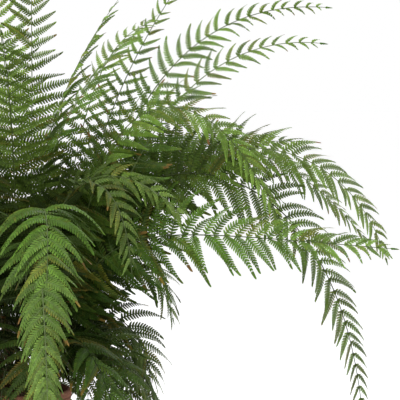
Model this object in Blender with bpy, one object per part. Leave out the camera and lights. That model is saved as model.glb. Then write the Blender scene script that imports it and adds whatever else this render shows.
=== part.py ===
"""A large fern in a terracotta vase: the vase, its soil, the rhizome crown and one solid for each frond.

Metres, +Z up. The origin is the centre of the vase's foot, on the surface that it stands on.
The front of the plant faces -Y, and +X is its right-hand side.
"""

import math
import random
from collections import namedtuple

import bmesh
import bpy
from mathutils import Matrix, Vector
from mathutils.bvhtree import BVHTree
from mathutils.kdtree import KDTree

# The vase, a turned terracotta pot.
VASE_HEIGHT = 0.400
FOOT_RADIUS = 0.080
BELLY_RADIUS = 0.138
BELLY_HEIGHT = 0.215
NECK_RADIUS = 0.080
NECK_DEPTH = 0.040  # from the rim's top down to the narrowest place
RIM_RADIUS = 0.090
RIM_DEPTH = 0.012  # height of the upright band at the rim
WALL = 0.008
FLOOR_THICKNESS = 0.014
PROFILE_STEPS = 7
ROUND_STEPS = 32
CREASE_ANGLE = 35.0  # a sharper edge than this is shaded as a crease

# The soil, and the crown that the fronds grow from.
SOIL_DEPTH = 0.014  # from the rim's top down to the soil
CROWN_RADIUS = 0.064
CROWN_HEIGHT = 0.016
CROWN_SKIRT = 0.004
CROWN_STEPS = 4
SEAT_GAP = 0.0003
SOIL_GAP = 0.0005  # between the soil and the vase's sloping wall

# What every frond shares.
SEAT_INNER = 0.012  # how far from the crown's middle the steepest stalk starts
SEAT_OUTER = 0.058  # and the flattest
STEEPEST = 88.0
FLATTEST = 50.0
FOOT_CLEARANCE = 0.0012  # from the crown up to the stalk's end
STIPE_SHARE = 0.18  # the bare stalk, as a share of the frond's length
STIPE_STEPS = 4
STALK_WIDTH = 0.0044
STALK_DEPTH = 0.0034
MIDRIB_WIDTH = 0.0030
MIDRIB_DEPTH = 0.0020
TIP_WIDTH = 0.0012
TIP_DEPTH = 0.0008
PINNA_PITCH = 0.045  # between leaflets along the midrib, where the blade begins
TIP_PITCH = 0.024
FEWEST_PITCHES = 4
END_LEAFLET = 0.018
SHORTEST_PINNA = 0.012
FIRST_SHARE = 0.78  # of the longest leaflet's length, where the blade begins
SWELLING = 1.3  # how fast the leaflets grow to their longest, as a share of it over the blade's length
TAPER = 0.75  # the power by which they shorten towards the tip
BASE_ANGLE = 78.0  # between a leaflet and the midrib, where the blade begins
TIP_ANGLE = 42.0
SWAY_POWER = 1.5  # above 1, a frond turns its heading more towards its tip
CURVE_STEPS = 160

# Room between the fronds.
STALK_GAP = 0.0020
LEAFLET_GAP = 0.0010
ROOT_SHARE = 0.15  # of a leaflet, next to its own midrib, where it may touch its neighbours
TURNS = (0, 2, -2, 4, -4, 6, -6, 8, -8, 10, -10, 12, -12, 15, -15, 18, -18)
TILTS = (0, 10, -10, 20, -20, 32, -32)
SHARES = (1.0, 0.86, 0.72, 0.58, 0.44)
RANDOM_SEED = 7

FIELDS = "azimuth length rise tip bend sharp sway leaflet hang roll"
Frond = namedtuple("Frond", FIELDS)
# azimuth: degrees from +X towards +Y.
# length: along the whole frond, from the crown to its tip.
# rise and tip: degrees above the horizon, at the crown and at the tip.
# bend: the share of the length by which it has bent half-way. sharp: how suddenly it bends there.
# sway: degrees that the heading turns by, from the crown to the tip.
# leaflet: length of the longest leaflet.
# hang: how far the leaflets hang, as a share of their length.
# roll: degrees that the blade turns by about its midrib. A frond that grows towards +X then faces -Y more.
SHOWN_FRONDS = (
    Frond(12, 0.91, 71, -5, 0.83, 5, 4, 0.075, 0.20, 60),
    Frond(50, 0.72, 74, 10, 0.97, 8, -10, 0.090, 0.20, 20),
    Frond(35, 0.76, 73, 52, 0.90, 4, -10, 0.065, 0.20, 50),
    Frond(-6, 0.82, 67.5, -8, 0.93, 5, 4, 0.080, 0.20, 60),
    Frond(-14, 0.86, 73, -65, 0.64, 9, 6, 0.095, 0.30, 50),
    Frond(-3, 0.90, 65, -75, 0.78, 3.5, -4, 0.120, 0.30, 55),
    Frond(8, 0.73, 71, -4, 0.60, 3.5, 2, 0.100, 0.30, 50),
    Frond(16, 0.97, 69, -50, 0.58, 3.5, -6, 0.115, 0.30, 60),
    Frond(-8, 1.13, 75, -88, 0.47, 3.3, 2, 0.100, 0.25, 65),
    Frond(-18, 0.76, 67, -4, 0.36, 6, 8, 0.125, 0.30, 60),
    Frond(290, 0.92, 80, -84, 0.50, 3, -34, 0.130, 0.50, 0),
    Frond(318, 0.61, 77, -84, 0.68, 8, -6, 0.095, 0.15, 0),
    Frond(60, 0.80, 85, 90, 0.80, 4, 60, 0.125, 0.50, 35),
    Frond(100, 0.76, 86, 74, 0.60, 4, 40, 0.120, 0.45, -40),
    Frond(20, 0.46, 76, -80, 0.66, 4, 0, 0.130, 0.40, 50),
    Frond(-30, 0.34, 66, -86, 0.46, 3, 4, 0.105, 0.40, 40),
    Frond(28, 0.76, 74, -40, 0.64, 4, 4, 0.120, 0.30, 45),
    Frond(-46, 0.38, 58, -88, 0.44, 3, 4, 0.105, 0.40, 20),
    Frond(0, 0.36, 71, -86, 0.53, 3.5, -4, 0.115, 0.40, 45),
    Frond(-34, 0.60, 81, -45, 0.68, 6, 4, 0.110, 0.45, 30),
    Frond(38, 0.56, 77, -75, 0.62, 4, 0, 0.125, 0.35, 45),
)

Whorl = namedtuple("Whorl", "count " + FIELDS)
# The rest of the fronds stand in whorls: how many, the first one's azimuth, and what they have in common.
# A whorl's sway and roll are the most that its fronds may have, either way.
WHORLS = (
    Whorl(7, 65, 0.74, 86, 42, 0.85, 3, 20, 0.115, 0.40, 40),
    Whorl(10, 70, 0.84, 79, -25, 0.70, 3, 12, 0.120, 0.35, 35),
    Whorl(11, 120, 0.84, 72, -55, 0.52, 3, 12, 0.125, 0.40, 30),
    Whorl(12, 40, 0.43, 64, -84, 0.45, 2.5, 10, 0.110, 0.45, 25),
    Whorl(11, 40, 0.32, 54, -80, 0.46, 2.5, 14, 0.090, 0.45, 20),
)
LENGTH_SPREAD = 0.10
ANGLE_SPREAD = 5.0
NEIGHBOUR_ANGLE = 13.0  # a whorl leaves this much room beside a frond that stands as steeply
NEIGHBOUR_RISE = 6.0

Stalk = namedtuple("Stalk", "rings sides tangents")


def clear_scene():
    for obj in list(bpy.data.objects):
        bpy.data.objects.remove(obj, do_unlink=True)


def make_material(name, color, roughness):
    material = bpy.data.materials.new(name)
    material.use_nodes = True
    shader = material.node_tree.nodes["Principled BSDF"]
    shader.inputs["Base Color"].default_value = (*color, 1.0)
    shader.inputs["Roughness"].default_value = roughness
    shader.inputs["Metallic"].default_value = 0.0
    return material


def make_object(name, points, faces, material, smooth=False):
    """A closed body from points and faces, with its faces pointing out."""
    mesh = bpy.data.meshes.new(name)
    mesh.from_pydata([tuple(point) for point in points], [], faces)
    body = bmesh.new()
    body.from_mesh(mesh)
    bmesh.ops.recalc_face_normals(body, faces=body.faces)
    body.to_mesh(mesh)
    body.free()
    mesh.materials.append(material)
    if smooth:
        mesh.shade_smooth()
        mesh.set_sharp_from_angle(angle=math.radians(CREASE_ANGLE))
    obj = bpy.data.objects.new(name, mesh)
    bpy.context.collection.objects.link(obj)
    return obj


# ---------------------------------------------------------------- the vase, the soil and the crown

def blend(start, end, share):
    """From start to end, level at both ends."""
    return start + (end - start) * (1 - math.cos(math.pi * share)) / 2


def outer_radius(height):
    """The vase's outline swells from the foot to the belly, draws in to the neck and flares to the rim."""
    neck_height = VASE_HEIGHT - NECK_DEPTH
    band_height = VASE_HEIGHT - RIM_DEPTH
    if height <= BELLY_HEIGHT:
        return FOOT_RADIUS + (BELLY_RADIUS - FOOT_RADIUS) * math.sin(math.pi / 2 * height / BELLY_HEIGHT)
    if height <= neck_height:
        return blend(BELLY_RADIUS, NECK_RADIUS, (height - BELLY_HEIGHT) / (neck_height - BELLY_HEIGHT))
    if height <= band_height:
        return blend(NECK_RADIUS, RIM_RADIUS, (height - neck_height) / (band_height - neck_height))
    return RIM_RADIUS


def outline_heights(low, high):
    """Heights from low to high that meet the outline's belly, neck and band."""
    marks = [BELLY_HEIGHT, VASE_HEIGHT - NECK_DEPTH, VASE_HEIGHT - RIM_DEPTH]
    stops = [low] + [mark for mark in marks if low < mark < high] + [high]
    heights = []
    for start, end in zip(stops, stops[1:]):
        steps = max(1, round(PROFILE_STEPS * (end - start) / BELLY_HEIGHT))
        heights += [start + (end - start) * step / steps for step in range(steps)]
    return heights + [high]


def turned(name, profile, material):
    """A body turned about the vase's axis, from (radius, height) pairs that start and end on the axis."""
    points = [(0, 0, profile[0][1])]
    rings = []
    for radius, height in profile[1:-1]:
        rings.append(range(len(points), len(points) + ROUND_STEPS))
        for step in range(ROUND_STEPS):
            angle = 2 * math.pi * step / ROUND_STEPS
            points.append((radius * math.cos(angle), radius * math.sin(angle), height))
    points.append((0, 0, profile[-1][1]))
    faces = []
    for step in range(ROUND_STEPS):
        following = (step + 1) % ROUND_STEPS
        faces.append((0, rings[0][step], rings[0][following]))
        faces.append((len(points) - 1, rings[-1][following], rings[-1][step]))
        for ring, upper in zip(rings, rings[1:]):
            faces.append((ring[step], ring[following], upper[following], upper[step]))
    return make_object(name, points, faces, material, smooth=True)


def inner_outline():
    """The hollow's outline, from its floor up to the lip."""
    heights = outline_heights(FLOOR_THICKNESS, VASE_HEIGHT)
    return [(outer_radius(height) - WALL, height) for height in heights]


def make_vase(material):
    outside = [(outer_radius(height), height) for height in outline_heights(0, VASE_HEIGHT)]
    return turned("vase", [(0, 0)] + outside + inner_outline()[::-1] + [(0, FLOOR_THICKNESS)], material)


def make_soil(material):
    """The soil fills the hollow up to its own level, and keeps a gap to the wall and the floor."""
    low, high = FLOOR_THICKNESS + SEAT_GAP, soil_height()
    side = []
    hollow = inner_outline()
    for (radius, height), (next_radius, next_height) in zip(hollow, hollow[1:]):
        if height >= high:
            break
        side.append((radius - SOIL_GAP, max(low, height)))
        if next_height > high:
            radius += (next_radius - radius) * (high - height) / (next_height - height)
            side.append((radius - SOIL_GAP, high))
    return turned("potting_soil", [(0, low)] + side + [(0, high)], material)


def soil_height():
    return VASE_HEIGHT - SOIL_DEPTH


def crown_height(radius):
    """The top of the crown's dome, this far from its middle."""
    low = soil_height() + SEAT_GAP + CROWN_SKIRT
    return low + CROWN_HEIGHT * math.sqrt(max(0, 1 - (radius / CROWN_RADIUS) ** 2))


def make_crown(material):
    low = soil_height() + SEAT_GAP
    dome = []
    for step in range(CROWN_STEPS):
        radius = CROWN_RADIUS * math.cos(math.pi / 2 * step / CROWN_STEPS)
        dome.append((radius, crown_height(radius)))
    profile = [(0, low), (CROWN_RADIUS, low)] + dome + [(0, crown_height(0))]
    return turned("rhizome_crown", profile, material)


# ---------------------------------------------------------------- the fronds

def choose_fronds():
    """The fronds that are seen one by one, then the whorls that fill the plant around them."""
    chance = random.Random(RANDOM_SEED)
    fronds = list(SHOWN_FRONDS)
    for whorl in WHORLS:
        for place in range(whorl.count):
            azimuth = whorl.azimuth + 360 * place / whorl.count + chance.uniform(-ANGLE_SPREAD, ANGLE_SPREAD)
            frond = Frond(
                azimuth=azimuth % 360,
                length=whorl.length * (1 + chance.uniform(-LENGTH_SPREAD, LENGTH_SPREAD)),
                rise=whorl.rise + chance.uniform(-ANGLE_SPREAD, ANGLE_SPREAD) / 2,
                tip=whorl.tip + 2 * chance.uniform(-ANGLE_SPREAD, ANGLE_SPREAD),
                bend=whorl.bend * (1 + chance.uniform(-LENGTH_SPREAD, LENGTH_SPREAD)),
                sharp=whorl.sharp,
                sway=whorl.sway * chance.uniform(-1, 1),
                leaflet=whorl.leaflet * (1 + chance.uniform(-LENGTH_SPREAD, LENGTH_SPREAD)),
                hang=whorl.hang,
                roll=whorl.roll * chance.uniform(-1, 1),
            )
            if not any(stands_beside(frond, shown) for shown in SHOWN_FRONDS):
                fronds.append(frond)
    return fronds


def stands_beside(frond, shown):
    """Whether a frond would crowd one that is already there."""
    apart = abs((frond.azimuth - shown.azimuth + 180) % 360 - 180)
    return apart < NEIGHBOUR_ANGLE and abs(frond.rise - shown.rise) < NEIGHBOUR_RISE


def bent(frond, share):
    """How much of its whole bending a frond has done at this share of its length, from 0 to 1."""
    middle = frond.bend ** frond.sharp
    return share ** frond.sharp / (share ** frond.sharp + middle) * (1 + middle)


def heading(azimuth):
    return Vector((math.cos(math.radians(azimuth)), math.sin(math.radians(azimuth)), 0))


def frond_curve(frond, turn):
    """Points along the frond's middle line, with the way that each one heads and its side."""
    steep = (STEEPEST - frond.rise) / (STEEPEST - FLATTEST)
    radius = SEAT_INNER + (SEAT_OUTER - SEAT_INNER) * steep
    azimuth = frond.azimuth + turn
    rise = math.radians(frond.rise)
    point = heading(azimuth) * radius
    point.z = crown_height(radius) + FOOT_CLEARANCE + STALK_WIDTH / 2 * math.cos(rise)
    step_length = frond.length / CURVE_STEPS
    curve = []
    for step in range(CURVE_STEPS + 1):
        share = step / CURVE_STEPS
        slope = math.radians(frond.rise + (frond.tip - frond.rise) * bent(frond, share))
        way = azimuth + frond.sway * share ** SWAY_POWER
        tangent = heading(way) * math.cos(slope) + Vector((0, 0, math.sin(slope)))
        roll = math.radians(frond.roll) * min(1.0, share / STIPE_SHARE)
        side = Matrix.Rotation(roll, 3, tangent) @ heading(way - 90)
        curve.append((point.copy(), tangent, side))
        point += tangent * step_length
    return curve


def ring_shares(frond):
    """Where the rings stand along the frond: along the stalk, then closer and closer along the blade."""
    shares = [STIPE_SHARE * step / STIPE_STEPS for step in range(STIPE_STEPS)]
    blade = frond.length * (1 - STIPE_SHARE) - END_LEAFLET
    count = max(FEWEST_PITCHES, round(blade / ((PINNA_PITCH + TIP_PITCH) / 2)))
    shrink = (TIP_PITCH - PINNA_PITCH) / (TIP_PITCH + PINNA_PITCH)
    for ring in range(count + 1):
        place = ring / count
        along = place * (1 - shrink) + place * place * shrink
        shares.append(STIPE_SHARE + along * blade / frond.length)
    return shares


def at_share(curve, share):
    """The curve's point, tangent and side at this share of its length."""
    place = share * CURVE_STEPS
    step = min(int(place), CURVE_STEPS - 1)
    mix = place - step
    return [start.lerp(end, mix) for start, end in zip(curve[step], curve[step + 1])]


def make_stalk(frond, curve):
    """Three corners to each ring of the stalk and midrib: left, right and below."""
    rings, sides, tangents = [], [], []
    for share in ring_shares(frond):
        point, tangent, side = at_share(curve, share)
        normal = side.cross(tangent).normalized()
        if share < STIPE_SHARE:
            mix = share / STIPE_SHARE
            width = STALK_WIDTH + (MIDRIB_WIDTH - STALK_WIDTH) * mix
            depth = STALK_DEPTH + (MIDRIB_DEPTH - STALK_DEPTH) * mix
        else:
            mix = (share - STIPE_SHARE) / (1 - STIPE_SHARE)
            width = MIDRIB_WIDTH + (TIP_WIDTH - MIDRIB_WIDTH) * mix
            depth = MIDRIB_DEPTH + (TIP_DEPTH - MIDRIB_DEPTH) * mix
        top = point + normal * depth / 2
        rings.append((top - side * width / 2, top + side * width / 2, point - normal * depth / 2))
        sides.append(side)
        tangents.append(tangent)
    return Stalk(rings, sides, tangents)


def stalk_faces(stalk, last_point, pinnae):
    """The faces of the stalk and midrib. A leaflet takes the place of its side's face."""
    faces = [(2, 1, 0)]
    count = len(stalk.rings)
    for ring in range(count - 1):
        near, far = 3 * ring, 3 * ring + 3
        faces += [(near, near + 1, far + 1), (near, far + 1, far)]
        for left, (first, second) in ((True, (2, 0)), (False, (1, 2))):
            corners = (near + first, near + second, far + second, far + first)
            tip = pinnae.get((ring, left))
            if tip is None:
                faces += [(corners[0], corners[1], corners[2]), (corners[0], corners[2], corners[3])]
            else:
                faces += [(corners[i], corners[(i + 1) % 4], tip) for i in range(4)]
    last = 3 * (count - 1)
    faces += [(last, last + 1, last_point), (last + 1, last + 2, last_point), (last + 2, last, last_point)]
    return faces


def clear_of_vase(point, gap):
    """Whether a point stands in the open: above the floor, and outside the vase or over its mouth."""
    if point.z > VASE_HEIGHT + gap:
        return True
    radius = math.hypot(point.x, point.y)
    if point.z > soil_height() and radius < NECK_RADIUS - WALL - gap:
        return True
    return point.z > gap and radius > outer_radius(point.z) + gap


def room_around(curve, placed):
    """The shortest way from this frond's middle line to those already placed."""
    if not placed:
        return math.inf
    tree = KDTree(len(placed))
    for index, point in enumerate(placed):
        tree.insert(point, index)
    tree.balance()
    return min(tree.find(point)[2] for point, _, _ in curve)


def place_curve(frond, placed):
    """The frond's curve, turned about the vase's axis by the least that leaves room for its stalk."""
    best_curve, best_room = None, -1
    for turn in TURNS:
        curve = frond_curve(frond, turn)
        room = room_around(curve, placed)
        if not all(clear_of_vase(point, STALK_WIDTH) for point, _, _ in curve):
            room = 0
        if room > best_room:
            best_curve, best_room = curve, room
        if room > STALK_WIDTH + STALK_GAP:
            break
    return best_curve


def wedge(corners, tip, root_share):
    """A leaflet's shape with its gap all round, as points and triangles."""
    near = ((corners[0] + corners[1]) / 2).lerp(tip, root_share)
    far = ((corners[2] + corners[3]) / 2).lerp(tip, root_share)
    along = (far - near).normalized() * LEAFLET_GAP
    out = (tip - (near + far) / 2).normalized() * LEAFLET_GAP
    normal = along.cross(out).normalized()
    half = (corners[0] - corners[1]).length / 2 * (1 - root_share) + LEAFLET_GAP
    flat = ((near - along, half), (far + along, half), (tip + out, LEAFLET_GAP))
    points = [point + normal * depth for point, depth in flat]
    points += [point - normal * depth for point, depth in flat]
    triangles = [(0, 1, 2), (3, 5, 4)]
    for start in range(3):
        end = (start + 1) % 3
        triangles += [(start, start + 3, end + 3), (start, end + 3, end)]
    return points, triangles


def leaflet_length(frond, place):
    """How long a leaflet is, from the blade's beginning at 0 to its tip at 1."""
    swell = min(1.0, FIRST_SHARE + SWELLING * place)
    return max(SHORTEST_PINNA, frond.leaflet * swell * (1 - place) ** TAPER)


def place_pinnae(frond, stalk, others):
    """The tip of each leaflet that has room, by ring and side."""
    pinnae = {}
    last_ring = len(stalk.rings) - 1
    own_points = [corner for ring in stalk.rings for corner in ring]
    own_faces = []
    for ring in range(last_ring):
        near = 3 * ring
        for first in range(3):
            second = (first + 1) % 3
            own_faces.append((near + first, near + second, near + 3 + second))
            own_faces.append((near + first, near + 3 + second, near + 3 + first))
    for ring in range(STIPE_STEPS, last_ring):
        place = (ring - STIPE_STEPS) / (last_ring - STIPE_STEPS)
        angle = math.radians(BASE_ANGLE + (TIP_ANGLE - BASE_ANGLE) * place)
        length = leaflet_length(frond, place)
        for left, (first, second) in ((True, (2, 0)), (False, (1, 2))):
            near, far = stalk.rings[ring], stalk.rings[ring + 1]
            corners = (near[first], near[second], far[second], far[first])
            middle = sum(corners, Vector()) / 4
            outward = -stalk.sides[ring] if left else stalk.sides[ring]
            direction = stalk.tangents[ring] * math.cos(angle) + outward * math.sin(angle)
            direction = (direction - Vector((0, 0, frond.hang))).normalized()
            own = BVHTree.FromPolygons(own_points, own_faces)
            tip = find_tip(corners, middle, direction, stalk.tangents[ring], length, own, others)
            if tip is None:
                continue
            pinnae[ring, left] = tip
            base = len(own_points)
            own_points += [*corners, tip]
            own_faces += [(base + side, base + (side + 1) % 4, base + 4) for side in range(4)]
    return pinnae


def find_tip(corners, middle, direction, tangent, length, own, others):
    """Where a leaflet may end: as it would grow, or else tilted or shorter, clear of every other piece."""
    for share in SHARES:
        for tilt in TILTS:
            tip = middle + Matrix.Rotation(math.radians(tilt), 3, tangent) @ direction * length * share
            if not clear_of_vase(tip, LEAFLET_GAP):
                continue
            if others.overlap(BVHTree.FromPolygons(*wedge(corners, tip, 0))):
                continue
            if own.overlap(BVHTree.FromPolygons(*wedge(corners, tip, ROOT_SHARE))):
                continue
            return tip
    return None


def add_polygons(points, faces, new_points, new_faces):
    base = len(points)
    points += new_points
    faces += [tuple(base + corner for corner in face) for face in new_faces]


def make_fronds(holders, material):
    """Every stalk is placed first. Then each frond in turn takes the room that is left for its leaflets."""
    fronds = choose_fronds()
    placed, stalks = [], []
    for frond in fronds:
        curve = place_curve(frond, placed)
        placed += [point for point, _, _ in curve]
        stalks.append((frond, make_stalk(frond, curve), curve[-1][0]))
    bodies = []
    for frond, stalk, end in stalks:
        points = [corner for ring in stalk.rings for corner in ring] + [end]
        bodies.append((points, stalk_faces(stalk, len(points) - 1, {})))
    for index, (frond, stalk, end) in enumerate(stalks):
        points, faces = [], []
        for obj in holders:
            add_polygons(points, faces, [vertex.co.copy() for vertex in obj.data.vertices],
                         [tuple(polygon.vertices) for polygon in obj.data.polygons])
        for other, (other_points, other_faces) in enumerate(bodies):
            if other != index:
                add_polygons(points, faces, other_points, other_faces)
        pinnae = place_pinnae(frond, stalk, BVHTree.FromPolygons(points, faces))
        own_points = list(bodies[index][0])
        numbers = {}
        for key, tip in pinnae.items():
            numbers[key] = len(own_points)
            own_points.append(tip)
        bodies[index] = (own_points, stalk_faces(stalk, 3 * len(stalk.rings), numbers))
        make_object(f"frond_{index + 1:02d}", *bodies[index], material)


def main():
    clear_scene()
    terracotta = make_material("terracotta", (0.45, 0.19, 0.09), 0.85)
    soil = make_material("soil", (0.035, 0.022, 0.014), 1.0)
    rhizome = make_material("rhizome", (0.11, 0.055, 0.025), 0.9)
    green = make_material("fern_green", (0.10, 0.22, 0.035), 0.55)
    vase = make_vase(terracotta)
    potting_soil = make_soil(soil)
    crown = make_crown(rhizome)
    make_fronds((vase, potting_soil, crown), green)


main()
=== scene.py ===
"""How a potted fern looks: its fronds, leaflets and lobes, the scaly crown, the soil and a terracotta vase.

Metres, +Z up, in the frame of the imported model. Each frond grows along the midrib of its own CAD solid,
and its leaflets reach as far as that solid's spikes.
"""

import math

import bmesh
import bpy
import numpy as np
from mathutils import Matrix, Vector


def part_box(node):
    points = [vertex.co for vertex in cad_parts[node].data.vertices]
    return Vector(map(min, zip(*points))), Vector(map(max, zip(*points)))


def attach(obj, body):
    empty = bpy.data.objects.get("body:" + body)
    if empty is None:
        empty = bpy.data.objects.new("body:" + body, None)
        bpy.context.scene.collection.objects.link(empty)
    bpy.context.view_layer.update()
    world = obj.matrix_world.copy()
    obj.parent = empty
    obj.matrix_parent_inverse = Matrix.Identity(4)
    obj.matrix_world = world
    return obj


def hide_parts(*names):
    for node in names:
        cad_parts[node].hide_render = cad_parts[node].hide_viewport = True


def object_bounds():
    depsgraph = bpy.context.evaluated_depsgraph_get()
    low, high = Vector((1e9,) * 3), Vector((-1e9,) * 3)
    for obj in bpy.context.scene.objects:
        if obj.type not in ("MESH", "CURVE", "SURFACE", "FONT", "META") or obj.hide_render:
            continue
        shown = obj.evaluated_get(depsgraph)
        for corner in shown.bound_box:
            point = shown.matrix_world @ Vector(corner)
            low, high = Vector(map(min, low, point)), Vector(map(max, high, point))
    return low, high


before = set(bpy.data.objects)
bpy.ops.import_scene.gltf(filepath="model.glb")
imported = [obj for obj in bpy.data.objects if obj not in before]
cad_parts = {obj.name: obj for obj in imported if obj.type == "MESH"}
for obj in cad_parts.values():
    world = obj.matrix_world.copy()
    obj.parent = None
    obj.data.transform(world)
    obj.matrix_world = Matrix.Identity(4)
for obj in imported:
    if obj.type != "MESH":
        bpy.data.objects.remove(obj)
cad_low, cad_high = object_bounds()
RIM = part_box("vase")[1]


# ---- sums and curves

def mix(start, end, share):
    return start + (end - start) * share


def unit(vectors):
    return vectors / np.maximum(np.linalg.norm(vectors, axis=-1, keepdims=True), 1e-12)


def spaced(corners):
    """The length along a line up to each of its corners, and the line's slope there."""
    knots = np.concatenate([[0], np.cumsum(np.linalg.norm(np.diff(corners, axis=0), axis=1))])
    return knots, np.gradient(corners, knots, axis=0)


def hermite(t, start, end, leaving, arriving):
    """Points and slopes on a curve between two corners, from t = 0 to 1, with these slopes at its ends."""
    points = ((2*t**3 - 3*t**2 + 1) * start + (t**3 - 2*t**2 + t) * leaving
              + (3*t**2 - 2*t**3) * end + (t**3 - t**2) * arriving)
    slopes = ((6*t**2 - 6*t) * start + (3*t**2 - 4*t + 1) * leaving
              + (6*t - 6*t**2) * end + (3*t**2 - 2*t) * arriving)
    return points, slopes


def bezier(start, control, end, share):
    """Points and unit tangents on a curve that starts towards its control point."""
    share = share[:, None]
    points = (1 - share) ** 2 * start + 2 * share * (1 - share) * control + share ** 2 * end
    return points, unit(2 * (1 - share) * (control - start) + 2 * share * (end - control))


def arc(centre, radius, start, end, steps):
    """Points on an arc, between two angles in degrees from +radius towards +height."""
    angles = np.radians(np.linspace(start, end, steps))
    return np.array(centre) + radius * np.stack([np.cos(angles), np.sin(angles)], 1)


# ---- meshes

CELL_MARGIN = 0.06  # of a square on the bake's map, left free along each of its sides


def new_object(name, data):
    obj = bpy.data.objects.new(name, data)
    bpy.context.collection.objects.link(obj)
    return obj


class Shape:
    """Gathers triangles, with their corners' colours and places on the bake's map."""

    def __init__(self):
        self.points, self.triangles, self.colors, self.cells, self.smooth = [], [], [], [], []
        self.count = 0

    def add(self, points, triangles, colors, places, smooth):
        """Adds n patches alike: points (n, v, 3), triangles (t, 3), colors (n, t, 3, 3), places (t, 3, 2)."""
        patches, size = points.shape[:2]
        starts = self.count + np.arange(patches)[:, None, None] * size
        self.points.append(points.reshape(-1, 3))
        self.triangles.append((triangles[None] + starts).reshape(-1, 3))
        self.colors.append(colors.reshape(-1, 3))
        self.cells.append((patches, places))
        self.smooth.append(np.full(patches * len(triangles), smooth))
        self.count += patches * size

    def build(self, name, material):
        points = np.concatenate(self.points).astype(np.float32)
        triangles = np.concatenate(self.triangles).astype(np.int32)
        mesh = bpy.data.meshes.new(name)
        mesh.vertices.add(len(points))
        mesh.vertices.foreach_set("co", points.ravel())
        mesh.loops.add(triangles.size)
        mesh.loops.foreach_set("vertex_index", triangles.ravel())
        mesh.polygons.add(len(triangles))
        mesh.polygons.foreach_set("loop_start", np.arange(0, triangles.size, 3, dtype=np.int32))
        mesh.update(calc_edges=True)
        mesh.polygons.foreach_set("use_smooth", np.concatenate(self.smooth))
        tint = mesh.attributes.new("tint", "BYTE_COLOR", "CORNER")
        colors = np.concatenate(self.colors)
        tint.data.foreach_set("color", np.concatenate([colors, np.ones((len(colors), 1))], 1).ravel())
        bake_map = mesh.uv_layers.new(name="OFBake")
        bake_map.uv.foreach_set("vector", self.map_places().astype(np.float32).ravel())
        mesh.materials.append(material)
        return new_object(name, mesh)

    def map_places(self):
        """Each patch in its own square of a grid."""
        side = math.ceil(math.sqrt(sum(patches for patches, _ in self.cells)))
        maps, first = [], 0
        for patches, places in self.cells:
            numbers = np.arange(first, first + patches)
            corner = np.stack([numbers % side, numbers // side], 1)[:, None, None, :]
            maps.append(((corner + mix(CELL_MARGIN, 1 - CELL_MARGIN, places[None])) / side).reshape(-1, 2))
            first += patches
        return np.concatenate(maps)


def mesh_points(mesh):
    places = np.empty(len(mesh.vertices) * 3)
    mesh.vertices.foreach_get("co", places)
    return places.reshape(-1, 3)


def tube_faces(rings, sides, capped):
    """A tube's triangles, and each corner's place along and around it."""
    triangles, places = [], []
    for ring in range(rings - 1):
        for side in range(sides):
            near, next_near = ring * sides + side, ring * sides + (side + 1) % sides
            far, next_far = near + sides, next_near + sides
            low, high = ring / (rings - 1), (ring + 1) / (rings - 1)
            left, right = side / sides, (side + 1) / sides
            triangles += [(near, next_near, next_far), (near, next_far, far)]
            places += [((low, left), (low, right), (high, right)), ((low, left), (high, right), (high, left))]
    if capped:
        for base, flip, along in ((0, True, 0), ((rings - 1) * sides, False, 1)):
            for side in range(1, sides - 1):
                corners = (base, base + side, base + side + 1)
                triangles.append(corners[::-1] if flip else corners)
                places.append(((along, 0), (along, side / sides), (along, (side + 1) / sides)))
    return np.array(triangles), np.array(places, float)


# ---- reading the CAD model

LEVEL = 0.01  # a face that turns less to the side than this counts as level
AXIS = 0.001  # a corner nearer to a turned body's axis than this lies on it
RING_EDGE = 0.0050  # every edge of a midrib's ring is shorter than this, and every other edge is longer
TIP_THICKNESS = 0.3  # of a midrib at its very end, where its last ring's is 1
REACH_WINDOW = 2  # a leaflet takes after the CAD spikes up to this many rings away
REACH_LOSS = 0.08  # how much shorter it counts a spike, for each ring between them
VASE_CLEARANCE = 0.003  # from a leaflet to the vase


def outline(name):
    """A turned CAD node's outer side, then its inner side, as (radius, height) corners in order of height."""
    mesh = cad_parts[name].data
    corners = {True: set(), False: set()}
    for face in mesh.polygons:
        outwards = face.normal.x * face.center.x + face.normal.y * face.center.y
        if abs(outwards) > LEVEL * math.hypot(face.center.x, face.center.y):
            for number in face.vertices:
                place = mesh.vertices[number].co
                corners[outwards > 0].add((round(place.z, 5), round(math.hypot(place.x, place.y), 5)))
    return tuple(np.array([(radius, height) for height, radius in sorted(corners[side]) if radius > AXIS])
                 for side in (True, False))


VASE_OUTER, VASE_INNER = outline("vase")


def in_vase(point):
    """Whether a point is inside the vase or right beside it, under its rim."""
    radius = math.hypot(*point[:2])
    wall = np.interp(point[2], VASE_OUTER[:, 1], VASE_OUTER[:, 0])
    return point[2] < RIM.z and radius < wall + VASE_CLEARANCE


def welded(mesh):
    """A mesh's distinct points, and its edges between them."""
    ends = np.empty(len(mesh.edges) * 2, int)
    mesh.edges.foreach_get("vertices", ends)
    points, number = np.unique(mesh_points(mesh).round(7), axis=0, return_inverse=True)
    edges = np.unique(np.sort(number.reshape(-1)[ends.reshape(-1, 2)], axis=1), axis=0)
    return points, edges[edges[:, 0] != edges[:, 1]]


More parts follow.
